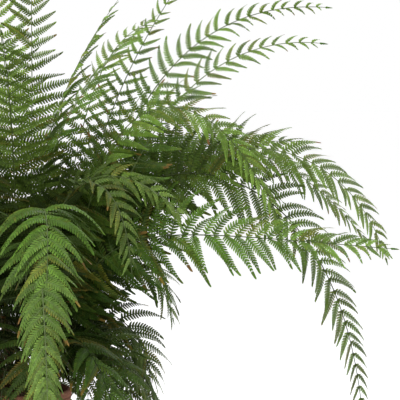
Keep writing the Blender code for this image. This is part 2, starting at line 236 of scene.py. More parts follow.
def read_frond(mesh):
    """The rings of a frond's midrib from the crown up, its end, and each leaflet's tip with its ring."""
    points, edges = welded(mesh)
    lengths = np.linalg.norm(points[edges[:, 0]] - points[edges[:, 1]], axis=1)

    # The corners that short edges join are one ring.
    ring_of = {}
    for first, second in edges[lengths < RING_EDGE].tolist():
        ring = ring_of.get(first, {first}) | ring_of.get(second, {second})
        for corner in ring:
            ring_of[corner] = ring
    rings = {min(ring): sorted(ring) for ring in ring_of.values()}

    # A long edge joins two rings, or a ring with the tip of a leaflet or the end of the frond.
    beside, touched = {key: set() for key in rings}, {}
    for first, second in edges[lengths >= RING_EDGE].tolist():
        for corner, other in ((first, second), (second, first)):
            if corner in ring_of and other in ring_of:
                beside[min(ring_of[corner])].add(min(ring_of[other]))
            elif corner in ring_of:
                touched.setdefault(other, set()).add(min(ring_of[corner]))

    # The frond's end touches only one ring. The others follow from there down to the crown.
    end = next(tip for tip, keys in touched.items() if len(keys) == 1)
    order = [next(iter(touched[end]))]
    while following := beside[order[-1]] - set(order):
        order.append(following.pop())
    order.reverse()
    corners = [points[rings[key]] for key in order]
    leaves = [(min(order.index(key) for key in keys), points[tip])
              for tip, keys in touched.items() if tip != end]
    return corners, points[end], leaves


def ring_frame(corners, tangent):
    """A ring's middle, its side and the width and depth of the midrib there."""
    lengths = [np.linalg.norm(corners[i] - corners[(i + 1) % 3]) for i in range(3)]
    widest = int(np.argmax(lengths))
    left, right, below = corners[widest], corners[(widest + 1) % 3], corners[(widest + 2) % 3]
    top = (left + right) / 2
    side = unit(right - left)
    if np.dot(np.cross(side, tangent), top - below) < 0:
        side = -side
    return (top + below) / 2, side, lengths[widest], np.linalg.norm(top - below)


class Midrib:
    """A smooth line through a CAD frond's rings. Everything on it is asked for by the length along it."""

    def __init__(self, corners, end):
        rough = np.array([ring.mean(0) for ring in corners] + [end])
        tangents = unit(np.gradient(rough, axis=0))
        framed = [ring_frame(ring, tangent) for ring, tangent in zip(corners, tangents)]
        middles, sides, widths, depths = (list(values) for values in zip(*framed))
        self.middles = np.array(middles + [end])
        self.sides = np.array(sides + [sides[-1]])
        self.widths = np.array(widths + [widths[-1] * TIP_THICKNESS])
        self.depths = np.array(depths + [depths[-1] * TIP_THICKNESS])
        self.knots, self.slopes = spaced(self.middles)
        self.length = self.knots[-1]

    def at(self, along):
        """Points, tangents, sides and normals at these lengths."""
        along = np.atleast_1d(along)
        index = np.clip(np.searchsorted(self.knots, along) - 1, 0, len(self.knots) - 2)
        span = (self.knots[index + 1] - self.knots[index])[:, None]
        share = (along[:, None] - self.knots[index][:, None]) / span
        points, slopes = hermite(share, self.middles[index], self.middles[index + 1],
                                 self.slopes[index] * span, self.slopes[index + 1] * span)
        tangents = unit(slopes)
        sides = mix(self.sides[index], self.sides[index + 1], share)
        sides = unit(sides - (sides * tangents).sum(1, keepdims=True) * tangents)
        return points, tangents, sides, np.cross(sides, tangents)

    def at_one(self, along):
        """The point, tangent, side and normal at one length."""
        return [rows[0] for rows in self.at(along)]

    def midway(self, ring):
        """The length halfway from a ring to the next."""
        return (self.knots[ring] + self.knots[ring + 1]) / 2

    def thickness(self, along):
        return np.interp(along, self.knots, self.widths), np.interp(along, self.knots, self.depths)


def leaflet_reach(midrib, leaves, last_ring):
    """For each side of the blade, how far its leaflets reach along the tangent, side and normal, by length.

    Where a CAD spike had to be shortened for want of room, the leaflet takes after the longer ones beside it.
    """
    reach = {}
    for sign in (-1, 1):
        found = {}
        for ring, tip in leaves:
            point, *axes = midrib.at_one(midrib.midway(ring))
            offset = np.array([np.dot(tip - point, axis) for axis in axes])
            if offset[1] * sign > 0:
                found[ring] = offset
        rows = []
        for ring in range(min(found), last_ring):
            near = [(abs(other - ring), found[other]) for other in found if abs(other - ring) <= REACH_WINDOW]
            if near:
                way = unit(sum(offset / (1 + apart) for apart, offset in near))
                longest = max(np.linalg.norm(offset) * (1 - REACH_LOSS * apart) for apart, offset in near)
                rows.append([midrib.midway(ring), *(way * longest)])
        reach[sign] = np.array(rows)
    return reach


# ---- one lobe, as a template

# Places along (0 to 1) and across (-1 to 1) a lobe: an oblong that leans forwards, and its ridge.
LOBE_OUTLINE = (
    (0.0, -1.15), (0.30, -1.0), (0.76, -0.70), (1.0, 0.25), (0.86, 0.80), (0.34, 1.0), (0.0, 1.15))
LOBE_RIDGE = ((0.0, 0.0), (0.58, 0.06))
LOBE_THICKNESS = 0.00022  # from the outline up to the ridge, and as much down to the ridge below
LOBE_SWEEP = 0.55  # how far the lobe's tip leans towards the leaflet's tip, in half-widths
LOBE_CUP = 0.10  # how far its edges bend down, of its length
LOBE_BASE_TONE, LOBE_TIP_TONE = 0.80, 1.30
UPPER_ROW, LOWER_ROW = 0.25, 0.75  # the middle of its two sides on the bake's map
MAP_HALF_WIDTH = 0.24


def lobe_template():
    """Points as (along, across, height), triangles, their places on the map, and how many are on top."""
    rim = [(x, y, 0.0) for x, y in LOBE_OUTLINE]
    points = np.array(rim + [(x, y, 1.0) for x, y in LOBE_RIDGE] + [(x, y, -1.0) for x, y in LOBE_RIDGE])
    upper = [(0, 1, 8), (0, 8, 7), (1, 2, 8), (2, 3, 8), (3, 4, 8), (4, 5, 8), (5, 6, 8), (6, 7, 8)]
    lower = [tuple(number + 2 if number > 6 else number for number in face[::-1]) for face in upper]
    base = [(0, 7, 9), (7, 6, 9)]
    triangles = np.array(upper + lower + base)
    rows = np.where(np.arange(len(triangles)) < len(upper), UPPER_ROW, LOWER_ROW)[:, None]
    places = np.stack([points[:, 0][triangles], rows + MAP_HALF_WIDTH * points[:, 1][triangles]], -1)
    return points, triangles, places, len(upper)


LOBE_POINTS, LOBE_TRIANGLES, LOBE_PLACES, LOBE_UPPER = lobe_template()


# ---- colours of the plant

def color(red, green, blue):
    return np.array((red, green, blue))


DEEP_GREEN = color(0.018, 0.046, 0.004)
LEAF_GREEN = color(0.054, 0.138, 0.006)
YOUNG_GREEN = color(0.130, 0.275, 0.012)
PALE_GREEN = color(0.190, 0.290, 0.066)
YELLOW = color(0.250, 0.200, 0.030)
BROWN = color(0.170, 0.080, 0.026)
RUST = color(0.230, 0.150, 0.025)
STALK_BROWN = color(0.085, 0.046, 0.020)
STALK_GREEN = color(0.170, 0.215, 0.095)
STALK_DARK = color(0.030, 0.034, 0.014)
SOIL = color(0.035, 0.024, 0.015)


def three_tones(first, middle, last, share):
    """From the first colour at 0, through the middle one at a half, to the last at 1."""
    return mix(mix(first, middle, np.minimum(1, 2 * share)), last, np.maximum(0, 2 * share - 1))


def sometimes(chance, odds, span, otherwise):
    """A number from the span with these odds, or else the other one."""
    return chance.uniform(*span) if chance.random() < odds else otherwise


# ---- leaflets

# A leaflet's half-width: it is widest near its base, and has a long fine tip.
BASE_WIDTH = 0.72  # at its very base, where the widest is about 1
WIDEST_AT = 0.14  # of its length
TIP_POWER = 0.72
BELLY = 0.50

LEAFLET_RISE = 0.08  # how far a leaflet starts upwards
ARCH_AT = 0.55  # of its length, where its arch turns
BASE_ROLL = 0.4  # of its twist, which grows by the whole of it up to its tip

COSTA_STEPS = 9
COSTA_WIDTH = 0.0010
COSTA_THICKNESS = 0.0005
SMALL_COSTA, COSTA_GROWTH = 0.45, 9  # share of that on the smallest leaflet, and more for each metre
COSTA_END = 0.985  # of the leaflet's length
COSTA_NARROWING = 0.85  # from its base to its tip
COSTA_TRIANGLES, COSTA_PLACES = tube_faces(COSTA_STEPS, 4, False)
COSTA_RINGS = COSTA_TRIANGLES // 4

LOBED_SHARE = 0.90  # of a leaflet, up to its plain tip
FEWEST_LOBES = 3
LOBE_PLACE = 0.55  # of its pitch, where a lobe stands
LOBE_PITCH, PITCH_GROWTH = 0.0032, 0.020  # between lobes, and how much more for each metre of the leaflet
BLADE_WIDTH, WIDTH_GROWTH = 0.0012, 0.120  # a leaflet's half-width, in the same way
MOST_WIDTH = 0.64  # of the room to the next leaflet
LOBE_SHIFT = 0.3  # how far the two rows may be out of step, in lobes
LOBE_FILL = 0.40  # a lobe's half-width, of the pitch
SMALL_LEAFLET, SMALL_FILL = 0.07, 0.12  # below this length that grows, by up to this much
LOBE_NARROWING = 0.15  # from the leaflet's base to its tip
LOBE_LENGTHS = (0.92, 1.06)
DROOP_SPREAD = 0.08
BASE_SLANT, TIP_SLANT = 76, 48  # degrees from the costa to a lobe
TIP_OVERLAP = 0.03  # of a leaflet, from the end of its lobes back to its tip's start
TIP_LENGTH = 0.15  # of the leaflet's
TIP_WIDTH = 0.75  # of the leaflet's where its lobes end
AGED_FROM = 0.78  # of a leaflet, where its tip's own age begins
AGE_SPREAD = 0.04
LOBE_TONES = (0.86, 1.14)


def half_width(share):
    base = mix(BASE_WIDTH, 1.0, np.minimum(1, share / WIDEST_AT))
    return base * (1 - share) ** TIP_POWER * (1 + BELLY * share)


def add_blades(shape, roots, along, across, up, lengths, halves, sweeps, droop, upper, lower, rust=0.0):
    """Many small thin blades at once, such as a leaflet's lobes. Each has its own frame, size and colours.

    rust is how far their tips have turned yellow-brown.
    """
    x, y, z = LOBE_POINTS.T
    bend = (-droop[:, None] * x**2 - LOBE_CUP * np.abs(y) * x) * lengths[:, None]
    placed = (roots[:, None] + along[:, None] * (x * lengths[:, None])[..., None]
              + across[:, None] * ((y + sweeps[:, None] * x**2) * halves[:, None])[..., None]
              + up[:, None] * (z * LOBE_THICKNESS + bend)[..., None])
    on_top = (np.arange(len(LOBE_TRIANGLES)) < LOBE_UPPER)[None, :, None]
    tints = np.where(on_top, upper[:, None], lower[:, None])
    outward = (x[LOBE_TRIANGLES] ** 2)[None, :, :, None]
    tints = mix(tints[:, :, None, :] * mix(LOBE_BASE_TONE, LOBE_TIP_TONE, outward), RUST, rust * outward)
    shape.add(placed, LOBE_TRIANGLES, tints, LOBE_PLACES, False)


def add_costa(shape, framed, length, look):
    """A thin strip with a ridge above and below, along the middle of a leaflet."""
    share = np.linspace(0, COSTA_END, COSTA_STEPS)
    points, _, forward, up = framed(share)
    size = min(1.0, SMALL_COSTA + COSTA_GROWTH * length) * (1 - COSTA_NARROWING * share)[:, None]
    wide, thick = forward * COSTA_WIDTH * size, up * COSTA_THICKNESS * size
    rings = np.stack([points + wide, points + thick, points - wide, points - thick], 1)
    tints = mix(look["costa"], look["upper"], share[:, None])[COSTA_RINGS]
    shape.add(rings.reshape(1, -1, 3), COSTA_TRIANGLES, tints[None], COSTA_PLACES, True)


def add_leaflet(shape, base, reach, tangent, normal, pitch, look, chance):
    """One leaflet: an arching costa, with a row of lobes on each side and a plain tip."""
    length = np.linalg.norm(reach)
    rise = np.array([0, 0, 1]) - tangent[2] * tangent
    start_way = unit(reach / length - look["lean"] * tangent + look["lift"] * rise + LEAFLET_RISE * normal)
    control = base + start_way * length * ARCH_AT

    def framed(share):
        """Points on the costa, its way, and the ways forward and up across it."""
        points, ways = bezier(base, control, base + reach, share)
        forward = unit(tangent - (ways @ tangent)[:, None] * ways)
        up = np.cross(ways, forward)
        if up[0] @ normal < 0:
            up = -up
        roll = look["roll"] * (BASE_ROLL + share)[:, None]
        turned = forward * np.cos(roll) + up * np.sin(roll)
        return points, ways, turned, up * np.cos(roll) - forward * np.sin(roll)

    add_costa(shape, framed, length, look)

    # The lobes, in two rows.
    count = max(FEWEST_LOBES, round(LOBED_SHARE * length / (LOBE_PITCH + PITCH_GROWTH * length)))
    width = min(BLADE_WIDTH + WIDTH_GROWTH * length, MOST_WIDTH * pitch)
    share = (np.arange(count) + LOBE_PLACE) / count * LOBED_SHARE
    shift = chance.uniform(-LOBE_SHIFT, LOBE_SHIFT) * LOBED_SHARE / count
    share = np.clip(np.concatenate([share, share + shift]), 0.01, 1)
    sides = np.concatenate([np.ones(count), -np.ones(count)])[:, None]
    points, ways, forward, up = framed(share)
    lengths = width * half_width(share) * chance.uniform(*LOBE_LENGTHS, len(share))
    fill = LOBE_FILL + SMALL_FILL * max(0.0, 1 - length / SMALL_LEAFLET)
    halves = fill * LOBED_SHARE * length / count * (1 - LOBE_NARROWING * share)
    slant = np.radians(mix(BASE_SLANT, TIP_SLANT, share))[:, None]
    along = sides * forward * np.sin(slant) + ways * np.cos(slant)
    across = unit(ways * np.sin(slant) - sides * forward * np.cos(slant))
    droop = look["droop"] + chance.uniform(-DROOP_SPREAD, DROOP_SPREAD, len(share))

    # The plain tip is one more lobe, along the costa.
    tip_points, tip_ways, tip_forward, tip_up = framed(np.array([LOBED_SHARE - TIP_OVERLAP]))
    points, up = np.concatenate([points, tip_points]), np.concatenate([up, tip_up])
    along, across = np.concatenate([along, tip_ways]), np.concatenate([across, tip_forward])
    lengths = np.append(lengths, TIP_LENGTH * length)
    halves = np.append(halves, width * half_width(np.array([LOBED_SHARE]))[0] * TIP_WIDTH)
    droop, share = np.append(droop, 0.0), np.append(share, 1.0)
    sweeps = np.append(np.full(2 * count, LOBE_SWEEP), 0.0)

    ages = np.interp(share, (AGED_FROM, 1), (look["body_age"], look["tip_age"]))
    ages = np.clip(ages + chance.normal(0, AGE_SPREAD, len(share)), 0, 1)[:, None]
    bright = chance.uniform(*LOBE_TONES, len(share))[:, None]
    upper = three_tones(look["upper"], YELLOW, BROWN, ages) * bright
    lower = mix(look["lower"], upper, 0.8 * ages)
    add_blades(shape, points, along, across, up, lengths, halves, sweeps, droop, upper, lower, look["rust"])


# ---- fronds

MIDRIB_STEP = 0.007
MIDRIB_SIDES = 7
CROWN_REACH = 0.010  # how far a stalk runs on, down into the crown
STALK_SHARE = 0.30  # of a frond, where its midrib's brown foot has turned green

PAINTED_SHADE_TONE = 0.46  # painted shade: leaves in the plant's middle are darkened to this share of their colour
FREE_BESIDE = (0.06, 0.32)  # distances from the axis where the painted shade begins to thin, and ends
FREE_ABOVE = (0.24, 0.44)  # heights above the rim where it does
LOWER_SHADE = 0.55  # of the pale green, in a leaf's lower side
LOWER_LIKENESS = 0.6  # how far that side takes after the upper one

TIP_PITCH = 0.0180  # between the last pairs of leaflets
SLENDER = (0.070, 0.100)  # length of the longest leaflets on a fully slender frond, and on one that isn't
SPARSE = 0.18  # how much wider a slender frond's leaflets are spaced
STRETCH = 0.14  # and how much longer they are drawn
AHEAD = 0.55  # how far the outermost leaflets lean towards their frond's tip
SHORTEST = 0.35  # of the last CAD spike, for the leaflets beyond it
PLACE_SPREAD = 0.12  # of a pitch
FIRST_PITCH, FIRST_GROWTH = 0.0105, 0.085  # between the first pairs, and more for each metre of the longest
LOW_PITCH = 0.88  # of that, on the lowest fronds
LEAFLET_LENGTHS = (0.92, 1.04)
WAY_SPREAD = 0.085  # of a leaflet's length
LEAFLET_ROOT = 0.35  # of the midrib's width, from its middle to the leaflets' roots

LIFTS, LEANS = (0.25, 0.50), (0.0, 0.25)  # how a frond's leaflets start: upwards, and back towards the crown
LIFT_SPREAD, LEAN_SPREAD = (0.5, 1.7), (0.5, 1.5)
ROLL_SPREAD = 18  # degrees
DROOPS = (0.06, 0.32)
TONES = (0.70, 1.40)
# Painted shade along a frond: its leaflets are darker at its base, where it shades itself, and brighter
# towards its tip.
FROND_BASE_PAINTED_SHADE, OUTER_TONE = 0.68, 1.24
PALENESS = 0.65  # of the outermost leaflets
PALE_SPREAD = 0.15

END_LEAFLET, END_ROOT = 0.014, 0.010  # the last one's length, and how far before the midrib's end it starts
END_LOOK = {"roll": 0.0, "droop": 0.1, "body_age": 0.0, "tip_age": 0.0, "lift": 0.0, "lean": 0.0, "rust": 0.0}

SCALE_COUNT = 26
SCALED_STALK = (0.002, 0.075)  # how far up a stalk its scales start and end


def frond_greens(height, chance):
    """A frond's upper, lower and midrib colours: low ones are old and dark, high ones young and bright."""
    youth = np.clip(0.06 + 0.80 * height + chance.uniform(-0.30, 0.30), 0, 1)
    upper = three_tones(DEEP_GREEN, LEAF_GREEN, YOUNG_GREEN, youth)
    upper = upper * np.array([chance.uniform(0.85, 1.30), 1.0, chance.uniform(0.8, 1.6)])
    upper = upper * chance.uniform(0.85, 1.15)
    rachis = mix(STALK_GREEN, STALK_DARK, chance.uniform(0, 1))
    return upper, mix(PALE_GREEN * LOWER_SHADE, upper, LOWER_LIKENESS), rachis


def free_of_painted_shade(point):
    """How far a leaf is free of painted shade: from 0 in the plant's middle, where the leaves are painted
    darker, to 1 where they stand free.
    """
    beside = np.interp(math.hypot(*point[:2]), FREE_BESIDE, (0, 1))
    return max(beside, np.interp(point[2] - RIM.z, FREE_ABOVE, (0, 1)))


def add_midrib(shape, midrib, upper, rachis):
    """The stalk and midrib, a tube that runs down into the crown."""
    along = np.linspace(0, midrib.length, int(midrib.length / MIDRIB_STEP))
    points, tangents, sides, normals = midrib.at(along)
    widths, depths = midrib.thickness(along)
    points[0] -= tangents[0] * CROWN_REACH
    angles = np.linspace(0, 2 * np.pi, MIDRIB_SIDES, endpoint=False) + np.pi / 2
    rings = (points[:, None] + sides[:, None] * (np.cos(angles) / 2 * widths[:, None])[..., None]
             + normals[:, None] * (np.sin(angles) / 2 * depths[:, None])[..., None])
    triangles, places = tube_faces(len(along), MIDRIB_SIDES, True)
    share = np.clip(along / midrib.length / STALK_SHARE, 0, 1)[:, None]
    tints = mix(STALK_BROWN, mix(rachis, upper, 0.3 * share), share)
    shape.add(rings.reshape(1, -1, 3), triangles, tints[triangles // MIDRIB_SIDES][None], places, True)


def add_stalk_scales(shape, midrib, chance):
    """Thin brown scales on the lowest stretch of a stalk."""
    along = np.sort(chance.uniform(*SCALED_STALK, SCALE_COUNT) * chance.uniform(0.35, 1, SCALE_COUNT))
    points, tangents, sides, normals = midrib.at(along)
    widths, _ = midrib.thickness(along)
    turn = chance.uniform(0, 2 * np.pi, SCALE_COUNT)[:, None]
    out = sides * np.cos(turn) + normals * np.sin(turn)
    across = unit(np.cross(tangents, out))
    way = unit(tangents + out * chance.uniform(0.15, 0.45, SCALE_COUNT)[:, None])
    lengths = chance.uniform(0.005, 0.011, SCALE_COUNT)
    tints = STALK_BROWN * chance.uniform(0.7, 1.9, SCALE_COUNT)[:, None]
    add_blades(shape, points + out * widths[:, None] * 0.4, way, across, -np.cross(across, way), lengths,
               lengths * 0.16, np.zeros(SCALE_COUNT), chance.uniform(-0.2, 0.3, SCALE_COUNT), tints, tints)


def leaflet_stations(start, end, first_pitch, last_pitch):
    """Where each pair of leaflets stands and the room it has: closer and closer towards the tip."""
    stations, here = [], start + first_pitch / 2
    while here < end - last_pitch:
        pitch = mix(first_pitch, last_pitch, (here - start) / (end - start))
        stations.append((here, pitch))
        here += pitch
    return stations


def leaflet_look(greens, outward, base, lift, lean, chance):
    """One leaflet's colours, twist and arch. outward goes from 0 at the blade's start to 1 at its tip."""
    upper, lower, rachis = greens
    body_age = sometimes(chance, 0.06, (0.05, 0.25), 0.0)
    tip_age = sometimes(chance, 0.12, (0.6, 1.0), body_age)
    # Painted shade: each leaflet's random tone, darkened towards its frond's base and in the plant's middle.
    tone_and_painted_shade = chance.uniform(*TONES) * mix(FROND_BASE_PAINTED_SHADE, OUTER_TONE, outward) * mix(PAINTED_SHADE_TONE, 1.0, free_of_painted_shade(base))
    pale = PALENESS * outward ** 1.5 + chance.uniform(0, PALE_SPREAD)
    return {
        "upper": mix(upper, PALE_GREEN, pale) * tone_and_painted_shade,
        "lower": mix(lower, PALE_GREEN, pale) * tone_and_painted_shade,
        "costa": mix(rachis, upper, 0.35),
        "body_age": body_age,
        "tip_age": tip_age,
        "roll": np.radians(chance.normal(0, ROLL_SPREAD)),
        "droop": chance.uniform(*DROOPS),
        "lift": lift * chance.uniform(*LIFT_SPREAD),
        "lean": lean * chance.uniform(*LEAN_SPREAD),
        "rust": sometimes(chance, 0.16, (0.3, 1.0), 0.0),
    }


def make_frond(number, cad, material):
    chance = np.random.default_rng(number)
    corners, end, leaves = read_frond(cad.data)
    midrib = Midrib(corners, end)
    reach = leaflet_reach(midrib, leaves, len(corners) - 1)
    start = midrib.knots[min(ring for ring, _ in leaves)]
    top = (midrib.middles[:, 2].max() - RIM.z) / (cad_high.z - RIM.z)
    upper, lower, rachis = greens = frond_greens(top, chance)
    shape = Shape()
    add_midrib(shape, midrib, upper, rachis)
    add_stalk_scales(shape, midrib, chance)

    longest = max(np.linalg.norm(rows[:, 1:], axis=1).max() for rows in reach.values())
    slender = np.interp(longest, SLENDER, (1, 0))
    sparse = 1 + SPARSE * slender
    first_pitch = (FIRST_PITCH + FIRST_GROWTH * longest) * mix(LOW_PITCH, 1.0, top) * sparse
    last_pitch = TIP_PITCH * sparse
    lift, lean = chance.uniform(*LIFTS), chance.uniform(*LEANS)
    for sign in (-1, 1):
        rows = reach[sign]
        for here, pitch in leaflet_stations(start, midrib.length, first_pitch, last_pitch):
            outward = (here - start) / (midrib.length - start)
            place = here + chance.uniform(-PLACE_SPREAD, PLACE_SPREAD) * pitch
            point, tangent, side, normal = midrib.at_one(place)
            offset = np.array([np.interp(place, rows[:, 0], rows[:, axis]) for axis in (1, 2, 3)])
            if place > rows[-1, 0]:
                offset *= max(SHORTEST, (midrib.length - place) / (midrib.length - rows[-1, 0]))
            plain = np.linalg.norm(offset)
            offset = offset * (1 + STRETCH * slender) * chance.uniform(*LEAFLET_LENGTHS)
            offset += chance.normal(0, WAY_SPREAD, 3) * plain
            leaflet = offset[0] * tangent + offset[1] * side + offset[2] * normal
            length = np.linalg.norm(leaflet)
            leaflet = unit(leaflet + AHEAD * outward * length * tangent) * length
            base = point + side * sign * midrib.thickness(place)[0] * LEAFLET_ROOT
            if in_vase(base + leaflet) or in_vase(base + leaflet * 0.6):
                continue
            look = leaflet_look(greens, outward, base, lift, lean, chance)
            add_leaflet(shape, base, leaflet, tangent, normal, pitch, look, chance)

    # The frond's own tip is one last small leaflet.
    point, tangent, side, normal = midrib.at_one(midrib.length - END_ROOT)
    look = {"upper": upper, "lower": lower, "costa": upper, **END_LOOK}
    add_leaflet(shape, point, tangent * END_LEAFLET, side, normal, last_pitch, look, chance)

    piece = shape.build(f"fern_{cad.name}", material)
    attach(piece, "root")
    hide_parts(cad.name)


# ---- the vase, the soil and the crown

VASE_SIDES = 144
PROFILE_STEP = 0.004  # about as far as the points on the vase's curves are apart
FOOT_EDGE = 0.003  # radius of the foot's worn edge
FOOT_RECESS = 0.004  # height of the hollow under the foot
RECESS_EDGES = (0.80, 0.86)  # of the foot's radius, where the hollow's slope starts and ends
BAND_STEP = 0.0016  # how far the rim's band stands out
BAND_EDGE = 0.0002
RING_HEIGHT, RING_PITCH = 0.00022, 0.0085  # of the throwing rings
RING_DRIFT = 0.061  # height over which their pitch goes up and down once
SMOOTH_FOOT = 0.03  # height over which they fade away towards the foot

SOIL_STEPS = 26
SOIL_WAVES = 18
SOIL_WAVE_HEIGHT = 0.0011
SOIL_RELIEF = 0.003  # the most that its top goes up or down
CRUMB_COUNT = 700
CRUMB_FREE = 0.003  # from the crumbs' middles to the vase's wall

DOME_STEPS = 16
DOME_INSET = 0.001  # from the CAD crown's side to the dome under the scales
DOME_LOW = 0.0015  # and from its top
SCALES = 900


def smooth_profile(corners):
    """A curve through (radius, height) corners."""
    knots, slopes = spaced(corners)
    points = []
    for index, span in enumerate(np.diff(knots)):
        share = np.linspace(0, 1, max(2, round(span / PROFILE_STEP)), endpoint=False)[:, None]
        points.append(hermite(share, corners[index], corners[index + 1],
                              slopes[index] * span, slopes[index + 1] * span)[0])
    return np.concatenate(points + [corners[-1:]])


def turn_profile(name, profile, material, wobble):
    """A closed body turned about the vase's axis. wobble(angle, height) moves its wall in and out."""
    angles = np.linspace(0, 2 * np.pi, VASE_SIDES, endpoint=False)
    inside = profile[profile[:, 0] > AXIS]
    radii = inside[:, 0][:, None] + wobble(angles[None], inside[:, 1][:, None])
    heights = np.broadcast_to(inside[:, 1][:, None], radii.shape)
    ring_points = np.stack([radii * np.cos(angles), radii * np.sin(angles), heights], -1).reshape(-1, 3)
    ends = [(0, 0, profile[0, 1]), (0, 0, profile[-1, 1])]
    first, last = len(ring_points), len(ring_points) + 1
    top = (len(inside) - 1) * VASE_SIDES
    faces = []
    for side in range(VASE_SIDES):
        following = (side + 1) % VASE_SIDES
        faces.append((first, following, side))
        faces.append((last, top + side, top + following))
        for low in range(0, top, VASE_SIDES):
            high = low + VASE_SIDES
            faces.append((low + side, low + following, high + following, high + side))
    mesh = bpy.data.meshes.new(name)
    mesh.from_pydata([tuple(point) for point in ring_points] + ends, [], faces)
    mesh.shade_smooth()
    mesh.materials.append(material)
    return new_object(name, mesh)


def make_vase(material):
    """The vase, with a rounded lip, a band below it, throwing rings and a foot with a worn edge."""
    foot_radius, foot_height = VASE_OUTER[0]
    (_, band_height), (rim_radius, rim_height) = VASE_OUTER[-2:]
    mouth_radius = VASE_INNER[-1][0]
    lip_radius = (rim_radius - mouth_radius) / 2
    under = np.array([[0.0, FOOT_RECESS], [foot_radius * RECESS_EDGES[0], FOOT_RECESS],
                      [foot_radius * RECESS_EDGES[1], 0.0]])
    foot = arc((foot_radius - FOOT_EDGE, FOOT_EDGE), FOOT_EDGE, -90, 0, 5)
    body = smooth_profile(VASE_OUTER[:-1])
    body = body[body[:, 1] > foot_height + FOOT_RECESS]
    band = np.array([[rim_radius - BAND_STEP, band_height - BAND_STEP / 2],
                     [rim_radius - BAND_EDGE, band_height + BAND_STEP / 2]])
    lip = arc(((rim_radius + mouth_radius) / 2, rim_height - lip_radius), lip_radius, 0, 180, 12)
    hollow = smooth_profile(VASE_INNER[VASE_INNER[:, 1] < rim_height - lip_radius])[::-1]
    profile = np.concatenate([under, foot, body, band, lip, hollow, [[0.0, hollow[-1][1]]]])

    def wobble(angle, height):
        drift = 1.3 * np.sin(2 * np.pi * height / RING_DRIFT)
        rings = RING_HEIGHT * np.sin(2 * np.pi * height / RING_PITCH + drift)
        fade = np.clip(height / SMOOTH_FOOT, 0, 1)
        dents = 0.0005 * np.sin(2 * angle + 9 * height) + 0.00025 * np.sin(5 * angle - 31 * height)
        return fade * (rings + dents)

    piece = turn_profile("terracotta_vase", profile, material, wobble)
    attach(piece, "root")
    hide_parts("vase")


def make_soil(material):
    """Loose peat: an uneven top with crumbs on it, over a plain body that fills the vase."""
    chance = np.random.default_rng(501)
    outer, _ = outline("potting_soil")
    wide, level = outer[-1]
    wall = outer[outer[:, 1] < level - 0.001]
    radii = np.linspace(wide, 0.002, SOIL_STEPS)
    top = np.stack([radii, np.full(SOIL_STEPS, level)], 1)
    profile = np.concatenate([[[0.0, wall[0][1]]], wall, top, [[0.0, level]]])
    piece = turn_profile("peat", profile, material, lambda angle, height: 0 * angle * height)
    mesh = piece.data
    places = mesh_points(mesh)
    turns, phases, _ = chance.uniform(-np.pi, np.pi, (SOIL_WAVES, 3)).T
    steep = chance.uniform(60, 420, SOIL_WAVES) * chance.choice((-1, 1), SOIL_WAVES)
    x, y = places[:, 0][:, None], places[:, 1][:, None]
    waves = np.sin(x * steep * np.cos(turns) + y * steep * np.sin(turns) + phases) / (1 + np.abs(steep) / 90)
    on_top = places[:, 2] > level - 0.0005
    places[on_top, 2] += np.clip(waves.sum(1)[on_top] * SOIL_WAVE_HEIGHT, -SOIL_RELIEF, SOIL_RELIEF)
    mesh.vertices.foreach_set("co", places.ravel())
    mesh.update()
    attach(piece, "root")
    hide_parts("potting_soil")
    make_crumbs(wide, level, chance)


def make_crumbs(wide, level, chance):
    """Crumbs of all sizes, scattered on the peat."""
    ball = bmesh.new()
    bmesh.ops.create_icosphere(ball, subdivisions=1, radius=1.0)
    corners = np.array([vertex.co[:] for vertex in ball.verts])
    triangles = np.array([[vertex.index for vertex in face.verts] for face in ball.faces])
    ball.free()
    sizes = chance.uniform(0.0009, 0.0034, CRUMB_COUNT) * chance.uniform(0.5, 1, CRUMB_COUNT)
    reach = np.sqrt(chance.uniform(0, 1, CRUMB_COUNT)) * (wide - CRUMB_FREE)
    turn = chance.uniform(0, 2 * np.pi, CRUMB_COUNT)
    middles = np.stack([reach * np.cos(turn), reach * np.sin(turn), level + sizes * 0.5], 1)
    shapes = corners[None] * chance.uniform(0.6, 1.2, (CRUMB_COUNT, len(corners), 1)) * sizes[:, None, None]
    shapes = shapes * np.array([1, 1, 0.8]) + middles[:, None]
    tints = SOIL * chance.uniform(0.5, 2.2, (CRUMB_COUNT, 1)) * np.array([1.0, 0.95, 0.9])
    colors = np.broadcast_to(tints[:, None, None], (CRUMB_COUNT, len(triangles), 3, 3))
    places = np.broadcast_to(np.array([[0.0, 0.0], [1.0, 0.0], [0.5, 1.0]]), (len(triangles), 3, 2))
    crumbs = Shape()
    crumbs.add(shapes, triangles, colors, places, False)
    surface, *_ = tinted_material("peat_crumb", 400.0, (0.6, 1.4), (0.9, 1.0), 1500.0, 0.5, 0.0006)
    loose = crumbs.build("peat_crumbs", surface)
    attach(loose, "root")


